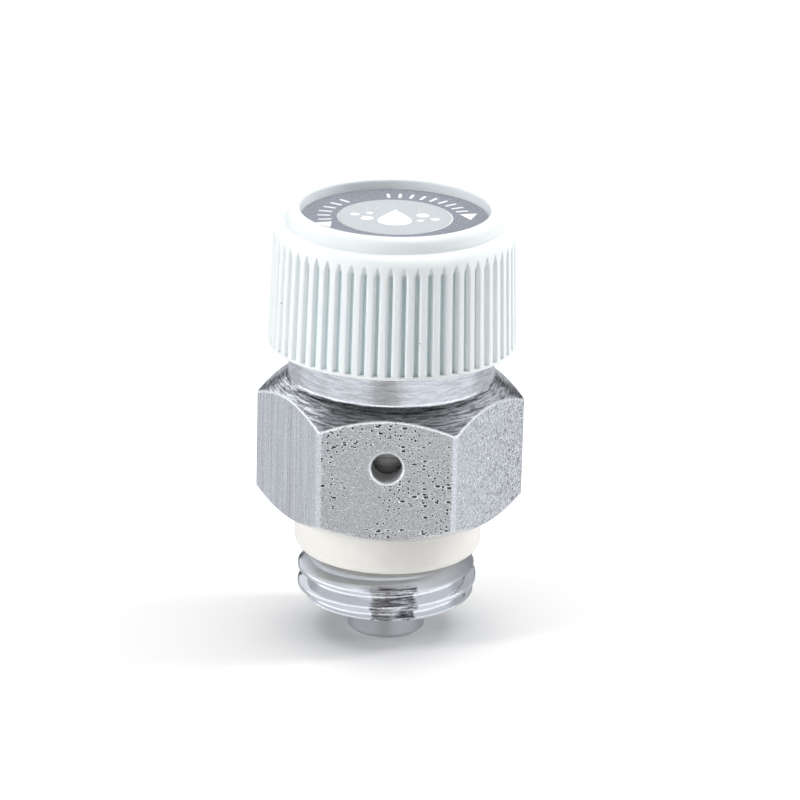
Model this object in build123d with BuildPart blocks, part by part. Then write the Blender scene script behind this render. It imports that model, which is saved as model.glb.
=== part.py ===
from build123d import *
from math import cos, radians, sin, tan
import os

# Automatic air vent for a radiator: G 1/4 male connection, hexagon 17 mm across flats.
# Millimetres.  +Z runs up the axis to the knob.  The origin is on the axis at the underside of the
# sealing ring, the plane that closes on the radiator's boss.  The front flat faces -Y.

os.makedirs("parts", exist_ok=True)

# ---------------------------------------------------------------- driving dimensions
# sealing ring and G 1/4 connection (ISO 228: 19 threads per inch, 55 degree Whitworth form)
RING_R, RING_IN, RING_H, RING_ROUND = 6.87, 5.45, 3.1, 0.8
G_PITCH, G_FLANK = 1.337, 27.5
G_MAJOR_R, G_MINOR_R = 6.5785, 5.7225
G_ROOT_ROUND, G_CREST_ROUND = 0.093, 0.06
G_CREST_LAND, G_OVERCUT = 0.26, 0.3             # land along the crest, cutter's reach past it
G_LOW, G_TURNS = -5.66, 5                       # groove centre on the +X side, below the shank
SHANK_BOTTOM, SHANK_CHAMFER = -3.8, 0.6
RELIEF_R, RELIEF_BOTTOM = 5.4, -0.2             # undercut above the thread, with a 45 degree side

# hexagon, neck and vent hole
HEX_AF, HEX_ROUND, BLANK_SPARE = 17.0, 0.55, 0.5        # the turned blank clears the corners
HEX_LOW_CONE, HEX_HIGH_CONE = 30.0, 38.0        # chamfer angles from the horizontal
HEX_EDGE_ROUND = 0.1                            # on the arched edges that the chamfers leave
HEX_LOW_Z, HEX_HIGH_Z = 3.55, 12.55             # where the chamfer cones meet the middle of a flat
NECK_R, NECK_TOP, NECK_CHAMFER, NECK_FILLET = 7.5, 19.6, 0.3, 0.1
VENT_R, VENT_Z, VENT_CHAMFER = 1.12, 9.0, 0.1

# inside of the body, from the bottom up
CHAMBER_R = 4.2
VALVE_SEAT_R, VALVE_SEAT_Z = 3.6, 1.4           # wide end of the 45 degree seat of the check valve
CHECK_BORE_R = 2.6
FLOOR_Z, LIP_TOP, LIP_IN, LIP_OUT = 4.6, 5.0, 3.2, 3.7
CAVITY_R = 5.9
GALLERY_R, GALLERY_LOW, GALLERY_HIGH = 6.55, 7.5, 10.6
UNDERCUT_R, UNDERCUT_LOW, UNDERCUT_HIGH = 6.55, 13.5, 14.5

# M13 x 1 spindle thread, 60 degree form, with running clearance
M_PITCH, M_FLANK = 1.0, 30.0
NUT_MINOR_R, NUT_MAJOR_R, NUT_ROOT_HALF, NUT_CHAMFER = 5.95, 6.5, 0.061, 0.5
BOLT_ROOT_R, BOLT_CREST_R, BOLT_CREST_HALF = 5.8, 6.38, 0.07
NUT_LOW, NUT_TURNS = 14.0, 6                    # groove's centre where its cutter starts
NUT_OVERCUT, BOLT_OVERCUT = 0.1, 0.2            # how far the cutters reach past the surface
BOLT_LOW, BOLT_HIGH, BOLT_TURNS = 15.05, 18.8, 4.8     # ends of the thread, turns of its cutter

# spindle
SKIRT_BOTTOM, SKIRT_R, SKIRT_IN = 5.25, 5.6, 4.1
SOCKET_IN, SOCKET_TOP = 4.58, 6.32              # wider mouth that takes the cartridge's flange
CEILING_Z = 12.9
LAND_R, LAND_LOW, LAND_HIGH = 5.8, 11.0, 13.0
SEAL_GROOVE_R, SEAL_GROOVE_LOW, SEAL_GROOVE_HIGH = 4.9, 11.3, 12.5
SEAL_R, SEAL_WIRE_R = 5.4, 0.48
WAIST_R = 5.7
PORT_R, PORT_COUNT, PORT_CUT = 0.9, 6, 12.0
SHOULDER_R, SHOULDER_TOP = 5.6, 19.4
SPLINE_TIP, SPLINE_ROOT, SPLINE_TEETH, SPLINE_TOP = 4.0, 3.72, 30, 22.3
SPLINE_CLEAR = 0.05                             # between the spindle's serrations and the knob
TAP_R, TAP_BOTTOM = 1.5, 16.5

# cartridge
FLANGE_R, FLANGE_BOTTOM, FLANGE_TOP = 4.5, 5.1, 6.3
STEM_R, STEM_BORE, STEM_TOP = 1.3, 0.9, 12.4
SLOT_W, SLOT_LOW, SLOT_HIGH, CROSS_CUT = 0.5, 6.6, 10.9, 3.6
WASHER_IN, WASHER_OUT, WASHER_TOP = 2.7, 4.0, 5.6
CLIP_R, CLIP_WIRE_R, CLIP_Z, CLIP_ARC = 4.55, 0.17, 5.98, 320.0
CLIP_GROOVE_IN, CLIP_GROOVE_OUT, CLIP_GROOVE_H = 4.34, 4.8, 0.4
DISC_COUNT, DISC_T, DISC_PITCH, DISC_BOTTOM = 8, 0.42, 0.48, 6.4
DISC_IN, DISC_R = 1.35, 3.6
PLATE_BOTTOM, PLATE_T = 10.25, 0.5
RETAINER_BOTTOM, RETAINER_T, RETAINER_R = 11.9, 0.3, 2.9
RETAINER_TEETH, RETAINER_SLOT_W, RETAINER_SLOT_R = 6, 0.4, 2.1
STACK_SPRING_R, STACK_WIRE_R, STACK_TURNS = 2.3, 0.17, 2.5

# check valve and inlet nozzle
HEAD_R, HEAD_BOTTOM, HEAD_TOP, HEAD_CHAMFER = 3.35, -1.4, -0.4, 0.15
FIN_SPAN, FIN_T = 4.5, 0.7
GUIDE_R, GUIDE_BOTTOM = 1.7, -2.0
POPPET_SEAL_R, POPPET_SEAL_WIRE_R = 2.7, 0.42
PLUG_TOP, POCKET_R, POCKET_FLOOR = -2.1, 3.0, -3.4
NUB_R, NUB_BOTTOM, NUB_CHAMFER, INLET_R = 2.86, -6.5, 0.25, 1.5
CHECK_SPRING_R, CHECK_WIRE_R, CHECK_TURNS = 2.25, 0.17, 3.5

# knob
KNOB_BOTTOM, KNOB_BOTTOM_R = 15.82, 9.06
KNOB_TOP_R, SHOULDER_Z, SHOULDER_ROUND = 8.74, 24.8, 0.8
RIM_R, RIM_IN, RIM_TOP, RIM_ROUND = 7.76, 6.88, 25.9, 0.4
RIM_INNER_ROUND, FOOT_ROUND = 0.15, 0.1
RECESS_FLOOR, WEB_BOTTOM, KNOB_IN = 24.85, 23.1, 8.05
BOSS_R, BOSS_BOTTOM, BOSS_CEILING = 5.4, 19.45, 22.4
SCREW_HOLE_R, COUNTERBORE_R, COUNTERBORE_FLOOR = 1.6, 3.0, 23.8
RIB_COUNT, RIB_T, RIB_BOTTOM, RIB_OVERLAP = 8, 0.8, 20.8, 0.3
FLUTE_COUNT, FLUTE_DEPTH = 58, 0.34
FLUTE_MOUTH, FLUTE_WALL, FLUTE_FLOOR = 0.33, 0.22, 0.09     # half widths of the groove
FLUTE_EASE, FLUTE_TIP_SIZE = 0.06, 0.05         # easing of the ribs' edges, size at the point
FLUTE_LOW, FLUTE_FULL, FLUTE_TIP = 16.07, 23.4, 24.15       # floor, end of full depth, point

# label and the fastener under it
LABEL_R, LABEL_T = 6.82, 0.3
SCREW_R, SCREW_END, SCREW_HEAD_R, SCREW_HEAD_TOP = 1.48, 17.0, 2.75, 24.8
SCREW_WASHER_T, SCREW_WASHER_R = 0.25, 2.9
SCREW_ROUND, SCREW_CHAMFER = 0.3, 0.25
CROSS_W, CROSS_SPAN, CROSS_DEPTH = 0.5, 2.8, 0.5


# ---------------------------------------------------------------- shared shapes
def spring_part(mean_radius, wire_radius, bottom, top, turns):
    """A compression spring that just fills the height from bottom to top."""
    rise = top - bottom - 2 * wire_radius
    with BuildPart() as spring:
        with BuildLine():
            wire = Helix(rise / turns, rise, mean_radius, center=(0, 0, bottom + wire_radius))
        with BuildSketch(Plane(wire @ 0, z_dir=wire % 0)):
            Circle(wire_radius)
        sweep(path=wire, is_frenet=True)
    return spring.part


def swept_groove(profile, pitch, radius, low, turns):
    """A thread cutter: the groove's profile (radius, height) goes up a right-hand helix from the
    +X side.  It runs past both ends of the thread that it cuts."""
    with BuildPart() as cutter:
        with BuildLine():
            path = Helix(pitch, turns * pitch, radius, center=(0, 0, low))
        with BuildSketch(Plane(origin=(0, 0, low), x_dir=(1, 0, 0), z_dir=(0, -1, 0))):
            add(profile)
        sweep(path=path, is_frenet=True)
    return cutter.part


def spline_points(tip, root, teeth):
    """The corners of a serrated outline, tip and root in turn."""
    step = 180 / teeth
    radii = [tip, root] * teeth
    return [(r * cos(radians(i * step)), r * sin(radians(i * step))) for i, r in enumerate(radii)]


# ---------------------------------------------------------------- thread grooves
# G 1/4: root arc, straight flank and crest arc, up to the land on the crest
g_flank_x, g_flank_y = cos(radians(G_FLANK)), sin(radians(G_FLANK))
g_land_y = (G_PITCH - G_CREST_LAND) / 2
g_reach_r = G_MAJOR_R + G_OVERCUT
g_crest_start = (
    G_MAJOR_R - G_CREST_ROUND * (1 - g_flank_y),
    g_land_y - G_CREST_ROUND * g_flank_x,
)
with BuildSketch() as g_groove:
    with BuildLine():
        root_arc = JernArc((G_MINOR_R, 0), (0, 1), G_ROOT_ROUND, G_FLANK - 90)
        Line(root_arc @ 1, g_crest_start)
        crest_arc = JernArc(g_crest_start, (g_flank_x, g_flank_y), G_CREST_ROUND, 90 - G_FLANK)
        Polyline(crest_arc @ 1, (g_reach_r, g_land_y), (g_reach_r, 0))
        mirror(about=Plane.XZ)
    make_face()
g_cutter = swept_groove(g_groove.sketch, G_PITCH, G_MAJOR_R, G_LOW, G_TURNS)

# M13 x 1: trapezoids, the nut's groove cut from inside and the bolt's from outside
m_slope = tan(radians(M_FLANK))
nut_mouth_r = NUT_MINOR_R - NUT_OVERCUT
nut_mouth_half = NUT_ROOT_HALF + (NUT_MAJOR_R - nut_mouth_r) * m_slope
with BuildSketch() as nut_groove:
    with BuildLine():
        Polyline((nut_mouth_r, 0), (nut_mouth_r, nut_mouth_half), (NUT_MAJOR_R, NUT_ROOT_HALF),
                 (NUT_MAJOR_R, 0))
        mirror(about=Plane.XZ)
    make_face()
nut_cutter = swept_groove(nut_groove.sketch, M_PITCH, NUT_MINOR_R, NUT_LOW, NUT_TURNS)

bolt_mouth_half = M_PITCH / 2 - BOLT_CREST_HALF
bolt_floor_half = bolt_mouth_half - (BOLT_CREST_R - BOLT_ROOT_R) * m_slope
bolt_reach_r = BOLT_CREST_R + BOLT_OVERCUT
bolt_start = NUT_LOW + M_PITCH / 2              # so that its ridge runs in the nut's groove
with BuildSketch() as bolt_groove:
    with BuildLine():
        Polyline((BOLT_ROOT_R, 0), (BOLT_ROOT_R, bolt_floor_half), (BOLT_CREST_R, bolt_mouth_half),
                 (bolt_reach_r, bolt_mouth_half), (bolt_reach_r, 0))
        mirror(about=Plane.XZ)
    make_face()
bolt_cutter = swept_groove(bolt_groove.sketch, M_PITCH, BOLT_CREST_R, bolt_start, BOLT_TURNS)

# ---------------------------------------------------------------- valve body
hex_r = HEX_AF / 2
low_cone, high_cone = tan(radians(HEX_LOW_CONE)), tan(radians(HEX_HIGH_CONE))
blank_r = hex_r / cos(radians(30)) + BLANK_SPARE
neck_foot_z = HEX_HIGH_Z + (hex_r - NECK_R) * high_cone
hex_foot_r = hex_r - (HEX_LOW_Z - RING_H) / low_cone
ARCH_TYPES = (GeomType.HYPERBOLA, GeomType.BSPLINE)     # where a chamfer cone meets a flat or round

with BuildPart() as body:
    # hexagon bar, turned to the double chamfer and to the neck
    with BuildSketch(Plane.XY.offset(RING_H)):
        RegularPolygon(hex_r, 6, major_radius=False)
    extrude(amount=NECK_TOP - RING_H)
    fillet(body.edges().filter_by(Axis.Z), HEX_ROUND)
    with BuildSketch(Plane.XZ) as turned:
        with BuildLine():
            Polyline((0, RING_H), (hex_foot_r, RING_H),
                     (blank_r, HEX_LOW_Z + (blank_r - hex_r) * low_cone),
                     (blank_r, HEX_HIGH_Z - (blank_r - hex_r) * high_cone),
                     (NECK_R, neck_foot_z), (NECK_R, NECK_TOP - NECK_CHAMFER),
                     (NECK_R - NECK_CHAMFER, NECK_TOP), (0, NECK_TOP), (0, RING_H))
        make_face()
        fillet(turned.vertices().sort_by_distance((NECK_R, neck_foot_z))[0], NECK_FILLET)
    revolve(axis=Axis.Z, mode=Mode.INTERSECT)
    chamfer_edges = body.faces().filter_by(GeomType.CONE).edges()
    fillet(chamfer_edges.filter_by(lambda edge: edge.geom_type in ARCH_TYPES), HEX_EDGE_ROUND)
    # threaded shank, with an undercut above the thread that runs on through the sealing ring
    relief_side = G_MAJOR_R - RELIEF_R
    with BuildSketch(Plane.XZ):
        with BuildLine():
            Polyline((0, RING_H), (0, SHANK_BOTTOM), (G_MAJOR_R - SHANK_CHAMFER, SHANK_BOTTOM),
                     (G_MAJOR_R, SHANK_BOTTOM + SHANK_CHAMFER),
                     (G_MAJOR_R, RELIEF_BOTTOM - relief_side), (RELIEF_R, RELIEF_BOTTOM),
                     (RELIEF_R, RING_H), (0, RING_H))
        make_face()
    revolve(axis=Axis.Z)
    add(g_cutter, mode=Mode.SUBTRACT)
    # bores: check valve chamber and seat, cartridge cavity, vent gallery, thread
    with BuildSketch(Plane.XZ):
        with BuildLine():
            Polyline((0, SHANK_BOTTOM), (CHAMBER_R, SHANK_BOTTOM), (CHAMBER_R, VALVE_SEAT_Z),
                     (VALVE_SEAT_R, VALVE_SEAT_Z),
                     (CHECK_BORE_R, VALVE_SEAT_Z + VALVE_SEAT_R - CHECK_BORE_R),
                     (CHECK_BORE_R, FLOOR_Z), (LIP_IN, FLOOR_Z), (LIP_IN, LIP_TOP),
                     (LIP_OUT, LIP_TOP), (LIP_OUT, FLOOR_Z), (CAVITY_R, FLOOR_Z),
                     (CAVITY_R, GALLERY_LOW), (GALLERY_R, GALLERY_LOW), (GALLERY_R, GALLERY_HIGH),
                     (CAVITY_R, GALLERY_HIGH), (CAVITY_R, UNDERCUT_LOW),
                     (UNDERCUT_R, UNDERCUT_LOW), (UNDERCUT_R, UNDERCUT_HIGH),
                     (NUT_MINOR_R, UNDERCUT_HIGH), (NUT_MINOR_R, NECK_TOP - NUT_CHAMFER),
                     (NUT_MINOR_R + NUT_CHAMFER, NECK_TOP), (0, NECK_TOP), (0, SHANK_BOTTOM))
        make_face()
    revolve(axis=Axis.Z, mode=Mode.SUBTRACT)
    add(nut_cutter, mode=Mode.SUBTRACT)
    # vent hole in the front flat, into the gallery
    with BuildSketch(Plane.XZ.offset(hex_r)):
        with Locations((0, VENT_Z)):
            Circle(VENT_R)
    extrude(amount=-(hex_r - CAVITY_R), mode=Mode.SUBTRACT)
    front = body.faces().filter_by(Axis.Y).sort_by(Axis.Y)[0]
    chamfer(front.edges().filter_by(GeomType.CIRCLE), VENT_CHAMFER)
body.part.label = "body"
export_step(body.part, "parts/body.step")

with BuildPart() as sealing_ring:
    with BuildSketch(Plane.XZ) as section:
        with BuildLine():
            Polyline((RING_IN, 0), (RING_R, 0), (RING_R, RING_H), (RING_IN, RING_H), close=True)
        make_face()
        fillet(section.vertices().sort_by_distance((RING_R, 0))[0], RING_ROUND)
    revolve(axis=Axis.Z)
sealing_ring.part.label = "sealing_ring"
export_step(sealing_ring.part, "parts/sealing_ring.step")

# ---------------------------------------------------------------- inlet nozzle and check valve
with BuildPart() as inlet_nozzle:
    with BuildSketch(Plane.XZ):
        with BuildLine():
            Polyline((INLET_R, POCKET_FLOOR), (POCKET_R, POCKET_FLOOR), (POCKET_R, PLUG_TOP),
                     (CHAMBER_R, PLUG_TOP), (CHAMBER_R, SHANK_BOTTOM), (NUB_R, SHANK_BOTTOM),
                     (NUB_R, NUB_BOTTOM + NUB_CHAMFER), (NUB_R - NUB_CHAMFER, NUB_BOTTOM),
                     (INLET_R, NUB_BOTTOM), close=True)
        make_face()
    revolve(axis=Axis.Z)
inlet_nozzle.part.label = "inlet_nozzle"
export_step(inlet_nozzle.part, "parts/inlet_nozzle.step")

check_spring = spring_part(CHECK_SPRING_R, CHECK_WIRE_R, POCKET_FLOOR, HEAD_BOTTOM, CHECK_TURNS)
check_spring.label = "check_spring"
export_step(check_spring, "parts/check_spring.step")

with BuildPart() as check_poppet:
    with BuildSketch(Plane.XY.offset(HEAD_BOTTOM)):
        Circle(HEAD_R)
    extrude(amount=HEAD_TOP - HEAD_BOTTOM)
    chamfer(check_poppet.edges().filter_by(GeomType.CIRCLE), HEAD_CHAMFER)
    with BuildSketch(Plane.XY.offset(GUIDE_BOTTOM)):
        Circle(GUIDE_R)
    extrude(amount=HEAD_BOTTOM - GUIDE_BOTTOM)
    # cross of guide fins that reaches up to the cartridge
    with BuildSketch(Plane.XY.offset(HEAD_TOP)):
        Rectangle(FIN_SPAN, FIN_T)
        Rectangle(FIN_T, FIN_SPAN)
    extrude(amount=FLANGE_BOTTOM - HEAD_TOP)
check_poppet.part.label = "check_poppet"
export_step(check_poppet.part, "parts/check_poppet.step")

with BuildPart() as poppet_o_ring:
    with BuildSketch(Plane.XZ):
        with Locations((POPPET_SEAL_R, HEAD_TOP + POPPET_SEAL_WIRE_R)):
            Circle(POPPET_SEAL_WIRE_R)
    revolve(axis=Axis.Z)
poppet_o_ring.part.label = "poppet_o_ring"
export_step(poppet_o_ring.part, "parts/poppet_o_ring.step")

# ---------------------------------------------------------------- cartridge
with BuildPart() as cartridge_core:
    with BuildSketch(Plane.XZ):
        with BuildLine():
            Polyline((STEM_BORE, FLANGE_BOTTOM), (WASHER_IN, FLANGE_BOTTOM),
                     (WASHER_IN, WASHER_TOP), (WASHER_OUT, WASHER_TOP),
                     (WASHER_OUT, FLANGE_BOTTOM), (FLANGE_R, FLANGE_BOTTOM),
                     (FLANGE_R, CLIP_Z - CLIP_GROOVE_H / 2),
                     (CLIP_GROOVE_IN, CLIP_Z - CLIP_GROOVE_H / 2),
                     (CLIP_GROOVE_IN, CLIP_Z + CLIP_GROOVE_H / 2),
                     (FLANGE_R, CLIP_Z + CLIP_GROOVE_H / 2), (FLANGE_R, FLANGE_TOP),
                     (STEM_R, FLANGE_TOP), (STEM_R, STEM_TOP), (STEM_BORE, STEM_TOP), close=True)
        make_face()
    revolve(axis=Axis.Z)
    # slots that let air out of the stem to the discs
    with BuildSketch(Plane.XY.offset(SLOT_LOW)):
        Rectangle(CROSS_CUT, SLOT_W)
        Rectangle(SLOT_W, CROSS_CUT)
    extrude(amount=SLOT_HIGH - SLOT_LOW, mode=Mode.SUBTRACT)
cartridge_core.part.label = "cartridge_core"
export_step(cartridge_core.part, "parts/cartridge_core.step")

for number in range(1, DISC_COUNT + 1):
    with BuildPart() as fibre_disc:
        with BuildSketch(Plane.XY.offset(DISC_BOTTOM + (number - 1) * DISC_PITCH)):
            Circle(DISC_R)
            Circle(DISC_IN, mode=Mode.SUBTRACT)
        extrude(amount=DISC_T)
    fibre_disc.part.label = f"fibre_disc_{number}"
    export_step(fibre_disc.part, f"parts/fibre_disc_{number}.step")

with BuildPart() as pressure_plate:
    with BuildSketch(Plane.XY.offset(PLATE_BOTTOM)):
        Circle(DISC_R)
        Circle(DISC_IN, mode=Mode.SUBTRACT)
    extrude(amount=PLATE_T)
pressure_plate.part.label = "pressure_plate"
export_step(pressure_plate.part, "parts/pressure_plate.step")

stack_spring = spring_part(
    STACK_SPRING_R, STACK_WIRE_R, PLATE_BOTTOM + PLATE_T, RETAINER_BOTTOM, STACK_TURNS
)
stack_spring.label = "stack_spring"
export_step(stack_spring, "parts/stack_spring.step")

with BuildPart() as star_retainer:
    with BuildSketch(Plane.XY.offset(RETAINER_BOTTOM)):
        Circle(RETAINER_R)
        Circle(STEM_R, mode=Mode.SUBTRACT)
        with PolarLocations(RETAINER_SLOT_R / 2, RETAINER_TEETH):
            SlotOverall(RETAINER_SLOT_R, RETAINER_SLOT_W, mode=Mode.SUBTRACT)
    extrude(amount=RETAINER_T)
star_retainer.part.label = "star_retainer"
export_step(star_retainer.part, "parts/star_retainer.step")

with BuildPart() as seat_washer:
    with BuildSketch(Plane.XY.offset(LIP_TOP)):
        Circle(WASHER_OUT)
        Circle(WASHER_IN, mode=Mode.SUBTRACT)
    extrude(amount=WASHER_TOP - LIP_TOP)
seat_washer.part.label = "seat_washer"
export_step(seat_washer.part, "parts/seat_washer.step")

# open wire ring that snaps the cartridge into the spindle
with BuildPart() as cartridge_clip:
    with BuildSketch(Plane.XZ):
        with Locations((CLIP_R, CLIP_Z)):
            Circle(CLIP_WIRE_R)
    revolve(axis=Axis.Z, revolution_arc=CLIP_ARC)
cartridge_clip.part.label = "cartridge_clip"
export_step(cartridge_clip.part, "parts/cartridge_clip.step")

# ---------------------------------------------------------------- spindle and its seal
with BuildPart() as spindle:
    with BuildSketch(Plane.XZ):
        with BuildLine():
            Polyline((0, CEILING_Z), (SKIRT_IN, CEILING_Z), (SKIRT_IN, SOCKET_TOP),
                     (SOCKET_IN, SOCKET_TOP), (SOCKET_IN, CLIP_Z + CLIP_GROOVE_H / 2),
                     (CLIP_GROOVE_OUT, CLIP_Z + CLIP_GROOVE_H / 2),
                     (CLIP_GROOVE_OUT, CLIP_Z - CLIP_GROOVE_H / 2),
                     (SOCKET_IN, CLIP_Z - CLIP_GROOVE_H / 2), (SOCKET_IN, SKIRT_BOTTOM),
                     (SKIRT_R, SKIRT_BOTTOM), (SKIRT_R, LAND_LOW), (LAND_R, LAND_LOW),
                     (LAND_R, SEAL_GROOVE_LOW), (SEAL_GROOVE_R, SEAL_GROOVE_LOW),
                     (SEAL_GROOVE_R, SEAL_GROOVE_HIGH), (LAND_R, SEAL_GROOVE_HIGH),
                     (LAND_R, LAND_HIGH), (WAIST_R, LAND_HIGH), (WAIST_R, BOLT_LOW),
                     (BOLT_CREST_R, BOLT_LOW), (BOLT_CREST_R, BOLT_HIGH),
                     (SHOULDER_R, BOLT_HIGH), (SHOULDER_R, SHOULDER_TOP), (0, SHOULDER_TOP),
                     close=True)
        make_face()
    revolve(axis=Axis.Z)
    add(bolt_cutter, mode=Mode.SUBTRACT)
    # serrated end that drives the spindle from the knob
    with BuildSketch(Plane.XY.offset(SHOULDER_TOP)):
        Polygon(*spline_points(SPLINE_TIP, SPLINE_ROOT, SPLINE_TEETH), align=None)
    extrude(amount=SPLINE_TOP - SHOULDER_TOP)
    with BuildSketch(Plane.XY.offset(SPLINE_TOP)):
        Circle(TAP_R)
    extrude(amount=-(SPLINE_TOP - TAP_BOTTOM), mode=Mode.SUBTRACT)
    # cross holes from the cartridge to the vent gallery
    with PolarLocations(0, PORT_COUNT // 2, angular_range=180, endpoint=False):
        with Locations(Location((0, 0, VENT_Z), (0, 90, 0))):
            Cylinder(PORT_R, PORT_CUT, mode=Mode.SUBTRACT)
spindle.part.label = "spindle"
export_step(spindle.part, "parts/spindle.step")

with BuildPart() as spindle_o_ring:
    with BuildSketch(Plane.XZ):
        with Locations((SEAL_R, (SEAL_GROOVE_LOW + SEAL_GROOVE_HIGH) / 2)):
            Circle(SEAL_WIRE_R)
    revolve(axis=Axis.Z)
spindle_o_ring.part.label = "spindle_o_ring"
export_step(spindle_o_ring.part, "parts/spindle_o_ring.step")

# ---------------------------------------------------------------- knob
knob_slope = (KNOB_BOTTOM_R - KNOB_TOP_R) / (SHOULDER_Z - KNOB_BOTTOM)
wall_direction = Vector(-knob_slope, 0, 1)


def flute_plane(height):
    """The plane across a flute.  Its origin is on the knob's outer wall and +Y points inward."""
    wall_r = KNOB_BOTTOM_R - (height - KNOB_BOTTOM) * knob_slope
    return Plane(origin=(wall_r, 0, height), x_dir=(0, 1, 0), z_dir=wall_direction)


def flute_outline(size):
    """The flute's section, eased at the mouth, with its size from 1 down to nearly 0 at the point."""
    half = [
        (FLUTE_MOUTH * size, -FLUTE_EASE),
        (FLUTE_WALL * size, FLUTE_EASE * size),
        (FLUTE_FLOOR * size, FLUTE_DEPTH * size),
    ]
    return half + [(-x, y) for x, y in reversed(half)]


with BuildPart() as flute_cutter:
    with BuildSketch(flute_plane(FLUTE_LOW)):
        Polygon(*flute_outline(1), align=None)
    extrude(amount=(FLUTE_FULL - FLUTE_LOW) * wall_direction.length)
    with BuildSketch(flute_plane(FLUTE_FULL)):
        Polygon(*flute_outline(1), align=None)
    with BuildSketch(flute_plane(FLUTE_TIP)):
        Polygon(*flute_outline(FLUTE_TIP_SIZE), align=None)
    loft(ruled=True)

with BuildPart() as knob:
    # shell: tapered grip, shoulder, and the rim around the label
    with BuildSketch(Plane.XZ) as shell:
        with BuildLine():
            Polyline((KNOB_IN, KNOB_BOTTOM), (KNOB_BOTTOM_R, KNOB_BOTTOM),
                     (KNOB_TOP_R, SHOULDER_Z), (RIM_R, SHOULDER_Z), (RIM_R, RIM_TOP),
                     (RIM_IN, RIM_TOP), (RIM_IN, RECESS_FLOOR), (COUNTERBORE_R, RECESS_FLOOR),
                     (COUNTERBORE_R, COUNTERBORE_FLOOR), (SCREW_HOLE_R, COUNTERBORE_FLOOR),
                     (SCREW_HOLE_R, WEB_BOTTOM), (KNOB_IN, WEB_BOTTOM), close=True)
        make_face()
        fillet(shell.vertices().sort_by_distance((KNOB_TOP_R, SHOULDER_Z))[0], SHOULDER_ROUND)
        fillet(shell.vertices().sort_by_distance((RIM_R, RIM_TOP))[0], RIM_ROUND)
        fillet(shell.vertices().sort_by_distance((RIM_IN, RIM_TOP))[0], RIM_INNER_ROUND)
        fillet(shell.vertices().sort_by_distance((RIM_R, SHOULDER_Z))[0], FOOT_ROUND)
        fillet(shell.vertices().sort_by_distance((KNOB_BOTTOM_R, KNOB_BOTTOM))[0], FOOT_ROUND)
    revolve(axis=Axis.Z)
    # drive boss, held to the skirt by ribs
    with BuildSketch(Plane.XY.offset(WEB_BOTTOM)):
        Circle(BOSS_R)
    extrude(amount=BOSS_BOTTOM - WEB_BOTTOM)
    with BuildSketch(Plane.XY.offset(WEB_BOTTOM)):
        with PolarLocations((BOSS_R + KNOB_IN) / 2, RIB_COUNT):
            Rectangle(KNOB_IN - BOSS_R + 2 * RIB_OVERLAP, RIB_T)
    extrude(amount=RIB_BOTTOM - WEB_BOTTOM)
    with BuildSketch(Plane.XY.offset(BOSS_BOTTOM)):
        tip, root = SPLINE_TIP + SPLINE_CLEAR, SPLINE_ROOT + SPLINE_CLEAR
        Polygon(*spline_points(tip, root, SPLINE_TEETH), align=None)
    extrude(amount=BOSS_CEILING - BOSS_BOTTOM, mode=Mode.SUBTRACT)
    with BuildSketch(Plane.XY.offset(BOSS_CEILING)):
        Circle(SCREW_HOLE_R)
    extrude(amount=COUNTERBORE_FLOOR - BOSS_CEILING, mode=Mode.SUBTRACT)
    # flutes of the grip, with a rib at the front
    with PolarLocations(0, FLUTE_COUNT, start_angle=180 / FLUTE_COUNT):
        add(flute_cutter.part, mode=Mode.SUBTRACT)
knob.part.label = "knob"
export_step(knob.part, "parts/knob.step")

# ---------------------------------------------------------------- label, screw and washer
with BuildPart() as label_disc:
    with BuildSketch(Plane.XY.offset(RECESS_FLOOR)):
        Circle(LABEL_R)
    extrude(amount=LABEL_T)
label_disc.part.label = "label_disc"
export_step(label_disc.part, "parts/label_disc.step")

with BuildPart() as screw_washer:
    with BuildSketch(Plane.XY.offset(COUNTERBORE_FLOOR)):
        Circle(SCREW_WASHER_R)
        Circle(SCREW_HOLE_R, mode=Mode.SUBTRACT)
    extrude(amount=SCREW_WASHER_T)
screw_washer.part.label = "screw_washer"
export_step(screw_washer.part, "parts/screw_washer.step")

head_bottom = COUNTERBORE_FLOOR + SCREW_WASHER_T
with BuildPart() as knob_screw:
    with BuildSketch(Plane.XY.offset(head_bottom)):
        Circle(SCREW_HEAD_R)
    extrude(amount=SCREW_HEAD_TOP - head_bottom)
    fillet(knob_screw.edges().group_by(Axis.Z)[-1], SCREW_ROUND)
    with BuildSketch(Plane.XY.offset(SCREW_END)):
        Circle(SCREW_R)
    extrude(amount=head_bottom - SCREW_END)
    chamfer(knob_screw.edges().group_by(Axis.Z)[0], SCREW_CHAMFER)
    with BuildSketch(Plane.XY.offset(SCREW_HEAD_TOP)):
        Rectangle(CROSS_SPAN, CROSS_W)
        Rectangle(CROSS_W, CROSS_SPAN)
    extrude(amount=-CROSS_DEPTH, mode=Mode.SUBTRACT)
knob_screw.part.label = "knob_screw"
export_step(knob_screw.part, "parts/knob_screw.step")
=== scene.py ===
import math
from types import SimpleNamespace

import bmesh
import bpy
from mathutils import Matrix, Vector


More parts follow.
